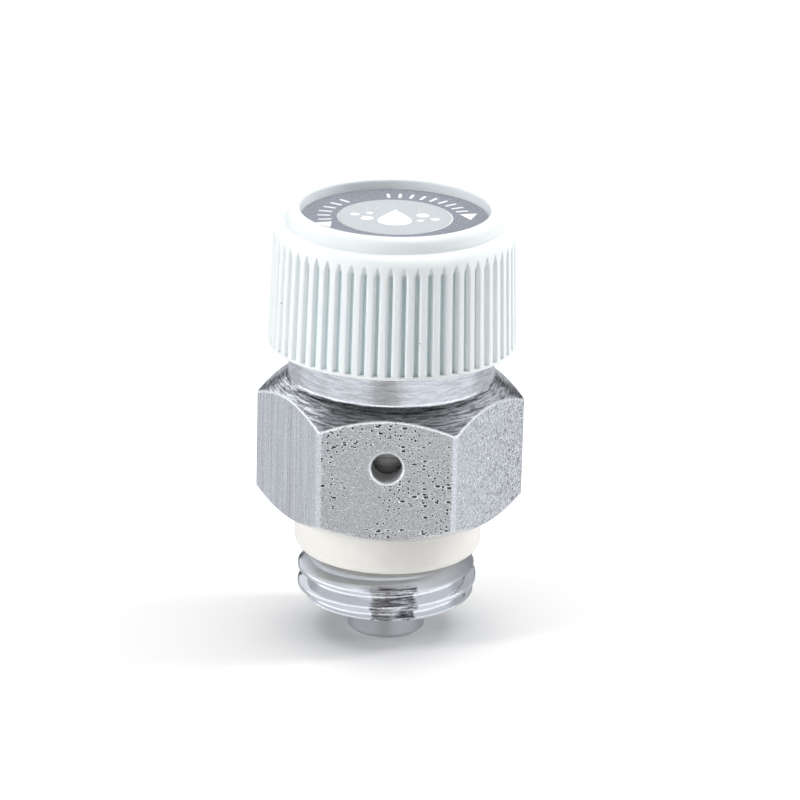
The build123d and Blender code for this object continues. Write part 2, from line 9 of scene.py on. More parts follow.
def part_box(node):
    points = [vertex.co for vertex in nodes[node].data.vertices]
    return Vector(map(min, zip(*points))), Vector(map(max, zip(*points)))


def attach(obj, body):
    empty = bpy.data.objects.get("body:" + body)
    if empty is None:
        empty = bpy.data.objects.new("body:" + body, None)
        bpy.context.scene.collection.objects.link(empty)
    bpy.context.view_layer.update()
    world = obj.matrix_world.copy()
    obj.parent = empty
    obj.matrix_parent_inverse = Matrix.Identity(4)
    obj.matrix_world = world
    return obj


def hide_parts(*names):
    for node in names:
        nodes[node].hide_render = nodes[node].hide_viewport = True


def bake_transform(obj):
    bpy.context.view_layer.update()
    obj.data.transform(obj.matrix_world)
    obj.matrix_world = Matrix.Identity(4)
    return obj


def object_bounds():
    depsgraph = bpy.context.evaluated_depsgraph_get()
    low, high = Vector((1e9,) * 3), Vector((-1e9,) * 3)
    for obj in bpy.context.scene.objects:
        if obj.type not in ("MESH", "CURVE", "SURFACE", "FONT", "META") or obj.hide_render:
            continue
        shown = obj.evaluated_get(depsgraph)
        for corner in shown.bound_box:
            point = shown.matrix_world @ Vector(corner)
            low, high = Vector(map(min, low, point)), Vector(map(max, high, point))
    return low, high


# Looks of the automatic air vent: chromed hexagon body, white fluted knob, printed label.
# Metres, in the frame of the CAD model: +Z up the axis, the front flat faces -Y.

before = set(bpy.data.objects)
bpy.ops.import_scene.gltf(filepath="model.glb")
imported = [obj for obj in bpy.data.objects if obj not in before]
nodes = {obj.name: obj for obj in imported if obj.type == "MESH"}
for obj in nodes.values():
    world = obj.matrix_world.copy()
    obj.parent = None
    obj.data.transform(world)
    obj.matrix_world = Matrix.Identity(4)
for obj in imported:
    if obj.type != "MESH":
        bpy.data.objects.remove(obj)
cad_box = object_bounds()

MM = 0.001


# ---------------------------------------------------------------- places taken from the frame
def low(name):
    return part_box(name)[0]


def high(name):
    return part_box(name)[1]


LABEL_TOP = high("label_disc").z
LABEL_R = high("label_disc").x
FLOOR_Z = cad_box[0].z


# ---------------------------------------------------------------- shader helpers
MIX_FACTOR, MIX_FIRST, MIX_SECOND, MIX_RESULT = 0, 6, 7, 2   # sockets of a Mix node for colours


class Nodes:
    """A node tree with short calls for what the room and the materials below need."""

    def __init__(self, tree):
        self.tree = tree

    def node(self, kind, **settings):
        made = self.tree.nodes.new(kind)
        for key, value in settings.items():
            setattr(made, key, value)
        return made

    def link(self, source, target):
        self.tree.links.new(source, target)

    def put(self, target, value):
        """Sets a socket to a number or colour, or links it to another socket."""
        if isinstance(value, bpy.types.NodeSocket):
            self.link(value, target)
        else:
            target.default_value = value

    def math(self, operation, first, second=0.0, third=0.0):
        made = self.node("ShaderNodeMath", operation=operation)
        for socket, value in zip(made.inputs, (first, second, third)):
            self.put(socket, value)
        return made.outputs[0]

    def times(self, first, *others):
        """The product of numbers and sockets."""
        for other in others:
            first = self.math("MULTIPLY", first, other)
        return first

    def most(self, first, *others):
        """The largest of some sockets."""
        for other in others:
            first = self.math("MAXIMUM", first, other)
        return first

    def length(self, x, y):
        """The length of the vector (x, y)."""
        return self.math("SQRT", self.math("MULTIPLY_ADD", x, x, self.math("MULTIPLY", y, y)))

    def position(self):
        """The object's own coordinates in millimetres."""
        coordinates = self.node("ShaderNodeTexCoord")
        return self.scaled(coordinates.outputs["Object"], (1 / MM, 1 / MM, 1 / MM))

    def normal(self):
        """The normal of the shape itself, without rounding or relief."""
        return self.node("ShaderNodeNewGeometry").outputs["Normal"]

    def scaled(self, vector, factors):
        """The vector with each coordinate multiplied by its factor."""
        made = self.node("ShaderNodeVectorMath", operation="MULTIPLY")
        self.put(made.inputs[0], vector)
        made.inputs[1].default_value = factors
        return made.outputs[0]

    def split(self, vector):
        made = self.node("ShaderNodeSeparateXYZ")
        self.link(vector, made.inputs[0])
        return made.outputs

    def joined(self, x, y, z):
        made = self.node("ShaderNodeCombineXYZ")
        for socket, value in zip(made.inputs, (x, y, z)):
            self.put(socket, value)
        return made.outputs[0]

    def noise(self, vector, scale, detail=2.0, roughness=0.5, distortion=0.0):
        made = self.node("ShaderNodeTexNoise")
        self.link(vector, made.inputs["Vector"])
        made.inputs["Scale"].default_value = scale
        made.inputs["Detail"].default_value = detail
        made.inputs["Roughness"].default_value = roughness
        made.inputs["Distortion"].default_value = distortion
        return made.outputs["Fac"]

    def cells(self, vector, scale, dimensions="3D"):
        """Distance to the nearest of a field of random points, and a random value for each."""
        made = self.node("ShaderNodeTexVoronoi", feature="F1", voronoi_dimensions=dimensions)
        self.link(vector, made.inputs["Vector"])
        made.inputs["Scale"].default_value = scale
        return made.outputs["Distance"], self.split(made.outputs["Color"])[0]

    def ramp(self, value, start, end, to_start=0.0, to_end=1.0):
        """A smooth step of value from start to end."""
        made = self.node("ShaderNodeMapRange", interpolation_type="SMOOTHSTEP")
        for socket, number in zip(made.inputs, (value, start, end, to_start, to_end)):
            self.put(socket, number)
        return made.outputs["Result"]

    def mix(self, factor, first, second):
        """A colour between two, the first where factor is 0."""
        made = self.node("ShaderNodeMix", data_type="RGBA")
        for index, value in ((MIX_FACTOR, factor), (MIX_FIRST, first), (MIX_SECOND, second)):
            self.put(made.inputs[index], value)
        return made.outputs[MIX_RESULT]

    def shaded(self, colour, factor):
        """The colour multiplied by a number."""
        made = self.node("ShaderNodeVectorMath", operation="SCALE")
        self.link(colour, made.inputs[0])
        self.link(factor, made.inputs["Scale"])
        return made.outputs[0]

    def dot(self, first, second):
        """How far two directions agree, 1 when they're the same."""
        made = self.node("ShaderNodeVectorMath", operation="DOT_PRODUCT")
        self.link(first, made.inputs[0])
        self.link(second, made.inputs[1])
        return made.outputs["Value"]

    def rounded(self, radius):
        """The normal of a surface whose edges are rounded by this radius."""
        made = self.node("ShaderNodeBevel", samples=6)
        made.inputs["Radius"].default_value = radius
        return made.outputs["Normal"]

    def bump(self, height, distance, strength=1.0, normal=None):
        """Relief: height 0 to 1 stands for the given distance in millimetres."""
        made = self.node("ShaderNodeBump")
        self.put(made.inputs["Strength"], strength)
        made.inputs["Distance"].default_value = distance * MM
        self.link(height, made.inputs["Height"])
        if normal is not None:
            self.link(normal, made.inputs["Normal"])
        return made.outputs["Normal"]


class Shader(Nodes):
    """A new material with one principled shader."""

    def __init__(self, name):
        self.material = bpy.data.materials.new(name)
        self.material.use_nodes = True
        super().__init__(self.material.node_tree)
        self.tree.nodes.clear()
        self.bsdf = self.node("ShaderNodeBsdfPrincipled")
        output = self.node("ShaderNodeOutputMaterial")
        self.link(self.bsdf.outputs["BSDF"], output.inputs["Surface"])

    def surface(self, values):
        """Sets the shader's own sockets, by their names."""
        for key, value in values.items():
            self.put(self.bsdf.inputs[key], value)


# ---------------------------------------------------------------- chrome plate
EDGE_ROUNDING = 0.22 * MM                            # radius of the edges' rounding in the shading, and how wide the painted highlight along an edge is
EDGE_HIGHLIGHT_BEND = (0.998, 0.975)                       # cosine of the rounding where an edge gets the painted highlight
# colour of the painted highlight along the edges
EDGE_HIGHLIGHT_TONE = (0.97, 0.98, 1.0, 1)
PIT_CROWDING = 1.2                               # how large and close the pits are
PIT_FLOOR, PIT_RIM, PIT_BLUR = 0.6, 1.7, 0.004   # shares of a pit's size, and its soft edge
PIT_LEAST = (0.03, 0.06)                         # pits under the first of these aren't seen
THREAD_SHADE_ANGLE, THREAD_SHADE_HALF = 0.11, (0.29, 0.25)     # part of the thread's front with painted shade, radians from -Y

# heights and radii in mm; of a pair, the mask has none of the first and all of the second
VENT_Z, VENT_RIM, VENT_DEEP = 9.0, (1.16, 1.13), (-5.8, -6.0)
HEX_OUT, HEX_UP = (8.1, 8.3), (3.0, 3.2)
EDGE_OUT, EDGE_UP = (8.2, 8.4), (3.7, 3.9)
CONE_UP, NECK_UP, TURNED_UP = (10.5, 11.0), (13.0, 13.2), (3.0, 3.4)
# the thread just under the ring: dull, and darker as painted shade
UNDER_RING_LOW, UNDER_RING_HIGH = (-1.5, -1.1), (0.2, 0.1)
NOZZLE_IN, NOZZLE_DOWN = (4.5, 4.3), (-3.0, -3.4)
# where the painted shade on the thread's front lies, mm
THREAD_SHADE_OUT, THREAD_SHADE_DOWN = (4.4, 4.6), (-0.9, -1.1)
BEATEN_OUT, SCORE_X = (5.0, 8.5), -7.0


def spots(s, vector, scale, least, most, crowd):
    """Small flaws in a surface: their middles, and the thin rims around them, which get a painted
    highlight.  The sizes are shares of the mean distance between two flaws."""
    distance, chance = s.cells(vector, scale, "2D")
    reach = s.math("MULTIPLY_ADD", s.times(chance, chance), most - least, least)
    reach = s.times(reach, crowd)
    soft_edge = s.math("ADD", reach, PIT_BLUR)
    middle = s.ramp(distance, s.times(reach, PIT_FLOOR), soft_edge, 1.0, 0.0)
    rim_highlight = s.ramp(distance, reach, s.math("MULTIPLY_ADD", reach, PIT_RIM, PIT_BLUR), 1.0, 0.0)
    seen = s.ramp(reach, *PIT_LEAST)
    return s.times(middle, seen), s.times(rim_highlight, seen)


def regions(s, place, normal):
    """Masks for the differently finished parts of the body and the nozzle, and for where shade is
    painted, by name.
    """
    x, y, z = s.split(place)
    nx, ny, nz = s.split(normal)
    radius = s.length(x, y)
    upright = s.ramp(s.math("ABSOLUTE", nz), 0.45, 0.3)
    on_hex = s.times(upright, s.ramp(radius, *HEX_OUT), s.ramp(z, *HEX_UP))
    turned = s.math("SUBTRACT", 1.0, on_hex)
    right = s.times(on_hex, s.ramp(nx, 0.80, 0.86))
    from_vent = s.length(x, s.math("SUBTRACT", z, VENT_Z))
    angle = s.math("ARCTAN2", x, s.times(y, -1.0))
    from_thread_shade = s.math("ABSOLUTE", s.math("SUBTRACT", angle, THREAD_SHADE_ANGLE))
    return SimpleNamespace(
        x=x, y=y, z=z, radius=radius, on_hex=on_hex, right=right,
        front=s.times(on_hex, s.ramp(s.math("ABSOLUTE", ny), 0.96, 0.995)),
        left=s.times(on_hex, s.ramp(nx, -0.80, -0.86)),
        beaten=s.times(right, s.ramp(x, *BEATEN_OUT, 0.35, 1.0)),
        cone=s.times(s.ramp(nz, 0.5, 0.6), s.ramp(z, *CONE_UP)),
        neck=s.times(turned, s.ramp(z, *NECK_UP)),
        above_ring=s.times(turned, s.ramp(z, *TURNED_UP, 0.15, 1.0)),
        edges=s.times(s.ramp(z, *EDGE_UP), s.ramp(radius, *EDGE_OUT)),
        in_hole=s.times(s.ramp(from_vent, *VENT_RIM), s.ramp(y, *VENT_DEEP)),
        under_ring=s.times(s.ramp(z, *UNDER_RING_LOW), s.ramp(z, *UNDER_RING_HIGH)),
        nozzle=s.times(s.ramp(radius, *NOZZLE_IN), s.ramp(z, *NOZZLE_DOWN)),
        front_thread_shade=s.times(s.ramp(from_thread_shade, *THREAD_SHADE_HALF), s.ramp(z, *THREAD_SHADE_DOWN),
                      s.ramp(radius, *THREAD_SHADE_OUT)))


def pit_crowd(s, place, at):
    """How crowded the pits are: most low on the right, at the left edge and above the hole."""
    slow = s.noise(place, 0.45, detail=2.0)
    low_right = s.times(s.ramp(s.math("MULTIPLY_ADD", at.z, -0.45, at.x), -4.6, -2.0),
                        s.ramp(at.z, 12.0, 9.5))
    left_edge = s.times(s.ramp(at.x, -2.3, -3.7), s.ramp(at.z, 5.0, 7.5))
    above_hole = s.times(s.ramp(at.z, 9.6, 10.6), s.ramp(s.math("ABSOLUTE", at.x), 4.2, 2.8))
    crowd = s.math("MULTIPLY_ADD", s.most(low_right, left_edge, above_hole), 0.65, 0.35)
    crowd = s.times(crowd, s.ramp(slow, 0.30, 0.50, 0.5, 1.0), at.front)
    far_right = s.times(at.right, s.ramp(at.x, 7.2, 8.8), s.ramp(at.y, 0.0, -0.2))
    return s.times(s.most(crowd, s.times(far_right, 0.6)), PIT_CROWDING)


def pits(s, place, at):
    """Round and drawn-out pits in the planes of the flats, and their rims for a painted highlight.
    """
    crowd = pit_crowd(s, place, at)
    across = s.math("MULTIPLY_ADD", at.y, 0.6, at.x)
    dots, dot_rim_highlights = spots(s, s.joined(across, at.z, 0.0), 2.9, 0.08, 0.30, crowd)
    squeezed = s.math("MULTIPLY_ADD", across, 0.45, 7.3)
    dashes, dash_rim_highlights = spots(s, s.joined(squeezed, at.z, 0.0), 2.7, 0.06, 0.26, crowd)
    return s.most(dots, dashes), s.most(dot_rim_highlights, dash_rim_highlights)


def tool_marks(s, place, at):
    """Textures, 0 to 1: lines round the axis, a hammered skin, drawn streaks and fine grain."""
    along = s.math("MULTIPLY_ADD", at.radius, -0.9, at.z)
    round_lines = s.joined(s.times(at.x, 0.12), s.times(at.y, 0.12), along)
    return SimpleNamespace(
        lines=s.noise(round_lines, 5.0, detail=5.0, roughness=0.8),
        hammered=s.noise(place, 4.2, detail=2.0, roughness=0.5, distortion=1.6),
        streaks=s.noise(s.scaled(place, (6.0, 6.0, 0.10)), 1.0, detail=4.0, roughness=0.7),
        scores=s.noise(s.scaled(place, (9.0, 9.0, 0.02)), 1.0),
        grain=s.noise(place, 8.0, detail=3.0, roughness=0.65))


def plate_relief(s, at, marks, pit, rounded):
    """The bumped normal of the plating, on top of the rounded one."""
    depth = s.math("MULTIPLY_ADD", at.cone, 0.3, at.above_ring)
    normal = s.bump(s.times(marks.lines, depth), 0.012, 1.0, rounded)
    beaten = s.math("MULTIPLY_ADD", at.front, 0.2, at.right)
    normal = s.bump(s.times(marks.hammered, beaten), 0.08, 1.0, normal)
    normal = s.bump(s.times(marks.streaks, at.left), 0.02, 1.0, normal)
    normal = s.bump(s.times(marks.grain, at.on_hex), 0.008, 1.0, normal)
    return s.bump(pit, -0.04, 1.0, normal)


def plate_shade(s, at, marks, pit, rim_highlight):
    """What the plating's tone is multiplied with: mottled flats, painted highlights and shade
    along the hammered relief, lines on the neck, turning lines on the cone darkened as painted
    shade, dark pits with painted highlights round them, and painted shade on the front of the
    thread, under the ring and in the hole."""
    shade = 1.0
    for amount, mask in (
            (s.ramp(marks.grain, 0.35, 0.65, -0.14, 0.12), at.on_hex),
            # light and dark following the hammered relief on the right flat: painted highlights
            # and painted shade
            (s.ramp(marks.hammered, 0.56, 0.64, 0.0, 0.50), at.beaten),
            (s.ramp(marks.hammered, 0.44, 0.36, 0.0, -0.50), at.beaten),
            (s.ramp(marks.streaks, 0.4, 0.6, -0.11, 0.09), at.left),
            # turning lines on the cone, darkened far more than lightened: turning marks with
            # painted shade where the cone mirrors the dark underside of the knob
            (s.ramp(marks.lines, 0.38, 0.62, -0.80, 0.40), at.cone),
            (s.ramp(marks.lines, 0.38, 0.62, -0.20, 0.14), at.neck)):
        shade = s.math("ADD", s.times(amount, mask), shade)
    # lighter round each pit: painted highlight
    shade = s.math("MULTIPLY_ADD", rim_highlight, 0.35, shade)
    near_score = s.ramp(s.math("ABSOLUTE", s.math("SUBTRACT", at.x, SCORE_X)), 0.45, 0.1)
    score = s.times(near_score, s.ramp(marks.scores, 0.5, 0.7), at.left)
    shade = s.math("MULTIPLY_ADD", score, -0.3, shade)
    # painted shade on the front of the thread, let through between the turning lines
    thread_shade = s.times(at.front_thread_shade, s.ramp(marks.lines, 0.42, 0.54, 0.85, 0.10))
    # darker inside the hole and under the ring: painted shade
    for mask, loss in ((pit, -0.94), (thread_shade, -1.0), (at.in_hole, -0.3), (at.under_ring, -0.25)):
        shade = s.times(shade, s.math("MULTIPLY_ADD", mask, loss, 1.0))
    return shade


def plate_roughness(s, at, marks, dull):
    """Bright on the turned parts, satin on the flats, dull in pits, under the ring, on the nozzle,
    in the hole and along the painted edge highlights.
    """
    rough = s.math("MULTIPLY_ADD", at.on_hex, 0.12, s.ramp(at.z, *TURNED_UP, 0.02, 0.07))
    rough = s.math("MULTIPLY_ADD", marks.grain, 0.05, rough)
    rough = s.math("MULTIPLY_ADD", s.most(at.under_ring, at.nozzle), 0.35, rough)
    return s.math("MULTIPLY_ADD", dull, 0.3, rough)


def chrome(name, tone_low, tone_high):
    """Chrome plate over turned and milled brass, with softly rounded edges that carry a painted
    highlight.
    """
    s = Shader(name)
    place = s.position()
    true_normal = s.normal()
    at = regions(s, place, true_normal)
    marks = tool_marks(s, place, at)
    pit, rim_highlight = pits(s, place, at)
    rounded = s.rounded(EDGE_ROUNDING)
    # painted highlight: the rounded edges are whitened and made less metallic to show a bright
    # line
    edge_highlight = s.times(s.ramp(s.dot(rounded, true_normal), *EDGE_HIGHLIGHT_BEND), at.edges)
    tone = s.mix(s.noise(place, 1.1, detail=3.0), tone_low, tone_high)
    tone = s.shaded(tone, plate_shade(s, at, marks, pit, rim_highlight))
    metallic = s.math("MULTIPLY_ADD", s.most(edge_highlight, at.in_hole), -0.5, 1.0)
    s.surface({"Base Color": s.mix(edge_highlight, tone, EDGE_HIGHLIGHT_TONE),
               "Metallic": metallic,
               "Roughness": plate_roughness(s, at, marks, s.most(pit, edge_highlight, at.in_hole)),
               "Normal": plate_relief(s, at, marks, pit, rounded)})
    return s.material


# ---------------------------------------------------------------- other materials
KNOB_TAPER = 0.0356                              # how much the knob's wall leans in, per height
KNOB_EDGE = 0.22 * MM                            # how round the moulded edges look
FOOT_SHADE_RISE = 0.25, 0.15                           # rise over the knob's lowest point where painted shade on its underside starts, and where it's full, mm
GROOVE_DEEP, GROOVE_END = (0.22, 0.34), (0.5, 0.4)    # depths between which the grooves get painted shade
GROOVE_TOP = 24.0, 23.3                          # where that painted shade ends, and where it's full, mm


def specks(s, place, scale, rarity, most, blur):
    """Dirt in a moulding: a mask of specks of up to this size, more of them as rarity falls."""
    distance, chance = s.cells(place, scale)
    size = s.times(s.ramp(chance, rarity, 1.0), most)
    return s.ramp(distance, size, s.math("MULTIPLY_ADD", size, blur, 0.001), 1.0, 0.0)


def knob_plastic(name):
    """Cool white moulding: satin, very slightly grained, with a few dark specks, with painted
    shade in the grooves, and painted nearly black on its downward faces at the bottom as shade."""
    s = Shader(name)
    place = s.position()
    x, y, z = s.split(place)
    nz = s.split(s.normal())[2]
    speck = specks(s, place, 0.9, 0.55, 0.055, 1.2)
    tone = s.mix(s.noise(place, 0.6, detail=3.0), (0.77, 0.81, 0.82, 1), (0.81, 0.845, 0.85, 1))
    colour = s.mix(s.times(speck, 0.7), tone, (0.18, 0.15, 0.12, 1))
    foot_z = low("knob").z / MM
    # painted shade: the downward faces at the bottom of the knob are made nearly black
    foot_shade = s.times(s.ramp(nz, -0.75, -0.95), s.ramp(z, *[foot_z + rise for rise in FOOT_SHADE_RISE]))
    colour = s.mix(foot_shade, colour, (0.07, 0.07, 0.07, 1))
    wall = s.math("MULTIPLY_ADD", s.math("SUBTRACT", z, foot_z), -KNOB_TAPER, high("knob").x / MM)
    depth = s.math("SUBTRACT", wall, s.length(x, y))
    groove_shade = s.times(s.ramp(depth, *GROOVE_DEEP), s.ramp(depth, *GROOVE_END),
                        s.ramp(z, *GROOVE_TOP))
    # grey-teal deep in the grooves: painted shade
    colour = s.mix(s.times(groove_shade, 0.75), colour, (0.50, 0.62, 0.64, 1))
    grain = s.noise(place, 16.0, detail=3.0, roughness=0.6)
    rough = s.math("MULTIPLY_ADD", s.noise(place, 4.0), 0.12, 0.36)
    normal = s.bump(grain, 0.006, 0.5, s.rounded(KNOB_EDGE))
    s.surface({"Base Color": colour, "Roughness": rough, "Normal": normal,
               "Specular IOR Level": 0.45, "Subsurface Weight": 0.12,
               "Subsurface Radius": (0.9, 0.9, 0.9), "Subsurface Scale": 0.4 * MM})
    return s.material


def ring_nylon(name):
    """Warm off-white seal: matt, faintly mottled, with fine brownish specks."""
    s = Shader(name)
    place = s.position()
    speck = specks(s, place, 1.7, 0.6, 0.07, 1.3)
    tone = s.mix(s.noise(place, 1.2, detail=4.0), (0.785, 0.765, 0.72, 1), (0.845, 0.83, 0.79, 1))
    colour = s.mix(s.times(speck, 0.45), tone, (0.25, 0.20, 0.14, 1))
    grain = s.noise(place, 9.0, detail=4.0, roughness=0.65)
    s.surface({"Base Color": colour, "Roughness": 0.55, "Normal": s.bump(grain, 0.012, 0.5),
               "Subsurface Weight": 0.15, "Subsurface Radius": (1.0, 0.9, 0.7),
               "Subsurface Scale": 0.5 * MM})
    return s.material


def print_ink(name, dark, light, roughness):
    """Screen-printed ink on the label: slightly uneven in tone and gloss."""
    s = Shader(name)
    place = s.position()
    mottle = s.ramp(s.noise(place, 5.0, detail=5.0, roughness=0.75), 0.35, 0.65)
    tone = s.mix(mottle, dark, light)
    grain = s.noise(place, 12.0, detail=3.0)
    rough = s.math("MULTIPLY_ADD", grain, 0.12, roughness)
    s.surface({"Base Color": tone, "Roughness": rough, "Normal": s.bump(grain, 0.003, 0.5)})
    return s.material


def turned_metal(name, dark, light, roughness, metallic=1.0):
    """Plain turned or drawn metal, with lines round the axis."""
    s = Shader(name)
    place = s.position()
    x, y, z = s.split(place)
    along = s.math("MULTIPLY_ADD", s.length(x, y), -0.9, z)
    lines = s.noise(s.joined(s.times(x, 0.1), s.times(y, 0.1), along), 8.0,
                    detail=4.0, roughness=0.7)
    tone = s.mix(s.noise(place, 1.5, detail=3.0), dark, light)
    rough = s.math("MULTIPLY_ADD", lines, 0.15, roughness)
    tone = s.mix(s.ramp(lines, 0.42, 0.50, 0.5, 0.0), tone, (0.02, 0.02, 0.02, 1))
    s.surface({"Base Color": tone, "Metallic": metallic, "Roughness": rough,
               "Normal": s.bump(lines, 0.015, 0.5)})
    return s.material


def soft_material(name, dark, light, roughness, scale, relief):
    """Rubber, fibre and acetal: an even body colour with a fine surface texture."""
    s = Shader(name)
    place = s.position()
    texture = s.noise(place, scale, detail=5.0, roughness=0.7)
    s.surface({"Base Color": s.mix(texture, dark, light), "Roughness": roughness,
               "Normal": s.bump(texture, relief, 0.6)})
    return s.material


def dress_nodes():
    """Gives every CAD node its material, and returns the springs' one."""
    plate = chrome("chrome_plate", (0.74, 0.745, 0.755, 1), (0.82, 0.825, 0.835, 1))
    # a darker copy of the chrome plate for the nozzle: painted shade for the shaded floor it
    # mirrors
    shaded_nozzle_plate = chrome("nozzle_plate_painted_shade", (0.35, 0.35, 0.355, 1), (0.41, 0.41, 0.415, 1))
    dull_brass = turned_metal("worn_brass", (0.60, 0.59, 0.57, 1), (0.75, 0.74, 0.72, 1), 0.30,
                              metallic=0.2)
    brass = turned_metal("turned_brass", (0.62, 0.45, 0.20, 1), (0.74, 0.56, 0.28, 1), 0.22)
    steel = turned_metal("spring_wire", (0.42, 0.42, 0.43, 1), (0.56, 0.56, 0.57, 1), 0.26)
    zinc = turned_metal("zinc_plate", (0.50, 0.51, 0.53, 1), (0.62, 0.63, 0.65, 1), 0.30)
    rubber = soft_material("seal_rubber", (0.012, 0.012, 0.013, 1), (0.03, 0.03, 0.032, 1), 0.5,
                           10.0, 0.006)
    fibre = soft_material("pressed_fibre", (0.30, 0.17, 0.10, 1), (0.46, 0.29, 0.18, 1), 0.8,
                          6.0, 0.03)
    acetal = soft_material("white_acetal", (0.78, 0.78, 0.75, 1), (0.86, 0.86, 0.84, 1), 0.38,
                           5.0, 0.004)
    by_node = {
        "body": plate, "inlet_nozzle": shaded_nozzle_plate,
        "sealing_ring": ring_nylon("ring_nylon"),
        "knob": knob_plastic("knob_plastic"),
        "label_disc": print_ink("label_white", (0.80, 0.81, 0.82, 1), (0.86, 0.87, 0.88, 1), 0.35),
        "spindle": dull_brass, "cartridge_core": brass, "pressure_plate": brass,
        "stack_spring": steel, "cartridge_clip": steel, "star_retainer": steel,
        "check_spring": steel,
        "knob_screw": zinc, "screw_washer": zinc,
        "poppet_o_ring": rubber, "spindle_o_ring": rubber, "seat_washer": rubber,
        "check_poppet": acetal,
    }
    for name, node in nodes.items():
        node.data.materials.clear()
        node.data.materials.append(by_node.get(name, fibre))
    return steel


# ---------------------------------------------------------------- label print
PRINT_T = 0.02 * MM                              # thickness of the ink
RING_IN, RING_OUT = 4.19 * MM, LABEL_R - 0.05 * MM
CENTRE_R, CENTRE_SHIFT = 4.12 * MM, (-0.04 * MM, 0.05 * MM)
TICK_IN, TICK_OUT, TICK_W = 4.75 * MM, 5.5 * MM, 0.24 * MM
TICK_STEPS = 8                                   # straight pieces in each of its round ends
ARROW_IN, ARROW_OUT, ARROW_TIP = 4.75 * MM, 6.05 * MM, 5.45 * MM
AUTO_TICKS = [math.radians(97 - 9.6 * step) for step in range(9)]
MANUAL_TICKS = [math.radians(192 - 11 * step) for step in range(6)]
AUTO_ARROW = math.radians(13), math.radians(-2.5)     # its base and its tip
MANUAL_ARROW = math.radians(199), math.radians(213)
DROP_AT, DROP_W, DROP_H = (0.0, -0.1 * MM), 2.5 * MM, 3.9 * MM
DROP_SLENDER, DROP_SWELL = 1.6, 1.4              # how thin its point is, and its width for that
BUBBLES = [(0.48, 2.0, 0.5), (0.34, 2.9, -0.35), (0.26, 1.85, -0.75)]  # radius and place, mm


def polar(radius, angle):
    """The point at this distance and angle from the middle."""
    return Vector((radius * math.cos(angle), radius * math.sin(angle)))


def circle(radius, centre=(0.0, 0.0), steps=128):
    """A round outline."""
    middle = Vector(centre)
    return [middle + polar(radius, math.tau * step / steps) for step in range(steps)]


def tick(angle):
    """A rounded bar across the ring at this angle."""
    across = Vector((-math.sin(angle), math.cos(angle))) * TICK_W / 2
    along = polar(1.0, angle)
    outline = []
    for radius, turn in ((TICK_OUT, -1), (TICK_IN, 1)):
        centre = along * radius
        for step in range(TICK_STEPS + 1):
            swing = math.pi * (step / TICK_STEPS - 0.5)
            outline.append(centre - turn * along * TICK_W / 2 * math.cos(swing)
                           - turn * across * math.sin(swing))
    return outline


def arrow(base_angle, tip_angle):
    """A triangle along the ring, from its base to its tip."""
    return [polar(ARROW_IN, base_angle), polar(ARROW_OUT, base_angle), polar(ARROW_TIP, tip_angle)]


def droplet(centre, width, height, steps=64):
    """A water drop with its point away from the front."""
    outline = []
    for step in range(steps):
        turn = math.tau * step / steps
        swell = math.sin(turn) * math.sin(turn / 2) ** DROP_SLENDER
        aside, along = swell * width / DROP_SWELL, math.cos(turn) * height / 2
        outline.append(Vector(centre) + Vector((aside, along)))
    return outline


def raised(shape, outline, height):
    """The outline's points as vertices at this height."""
    return [shape.verts.new((*point, height)) for point in outline]


def wall(shape, first, second):
    """Faces between two closed loops with as many vertices."""
    for step in range(len(first)):
        after = (step + 1) % len(first)
        shape.faces.new((first[step], first[after], second[after], second[step]))


def plate(shape, outline, bottom):
    """A closed plate as thick as the ink."""
    under, over = [raised(shape, outline, bottom + rise) for rise in (0, PRINT_T)]
    shape.faces.new(reversed(under))
    shape.faces.new(over)
    wall(shape, under, over)


def pierced_plate(shape, outline, hole, bottom):
    """The same with a hole, whose outline has as many points."""
    under, over, hole_under, hole_over = [
        raised(shape, loop, bottom + rise) for loop in (outline, hole) for rise in (0, PRINT_T)]
    loops = [under, over, hole_over, hole_under]
    for first, second in zip(loops, loops[1:] + loops[:1]):
        wall(shape, first, second)


def inked(name, shape, material):
    """Ends a print: it turns with the knob and belongs to the label."""
    mesh = bpy.data.meshes.new(name)
    bmesh.ops.recalc_face_normals(shape, faces=shape.faces)
    shape.to_mesh(mesh)
    shape.free()
    mesh.materials.append(material)
    made = bpy.data.objects.new(name, mesh)
    bpy.context.collection.objects.link(made)
    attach(made, "knob")


def inked_plates(name, outlines, material, bottom):
    """A print of closed outlines."""
    shape = bmesh.new()
    for outline in outlines:
        plate(shape, outline, bottom)
    inked(name, shape, material)


def pictogram():
    """Outlines of a water drop with three bubbles on each side of it."""
    outlines = [droplet(DROP_AT, DROP_W, DROP_H)]
    for side in (1, -1):
        for radius, x, y in BUBBLES:
            outlines.append(circle(radius * MM, (side * x * MM, side * y * MM), 48))
    return outlines


def label_print():
    """Slate ring, grey centre, white ticks with an arrow at their end, and the pictogram."""
    slate = print_ink("ink_slate", (0.165, 0.180, 0.215, 1), (0.275, 0.290, 0.335, 1), 0.34)
    grey = print_ink("ink_grey", (0.46, 0.485, 0.505, 1), (0.55, 0.575, 0.595, 1), 0.36)
    white = print_ink("ink_white", (0.82, 0.84, 0.86, 1), (0.90, 0.91, 0.92, 1), 0.36)
    ring = bmesh.new()
    pierced_plate(ring, circle(RING_OUT), circle(RING_IN), LABEL_TOP)
    inked("label_ring", ring, slate)
    inked_plates("label_centre", [circle(CENTRE_R, CENTRE_SHIFT)], grey, LABEL_TOP)
    marks = [tick(angle) for angle in AUTO_TICKS + MANUAL_TICKS]
    marks += [arrow(*AUTO_ARROW), arrow(*MANUAL_ARROW)]
    inked_plates("label_marks", marks, white, LABEL_TOP + PRINT_T)
    inked_plates("label_pictogram", pictogram(), white, LABEL_TOP + PRINT_T)


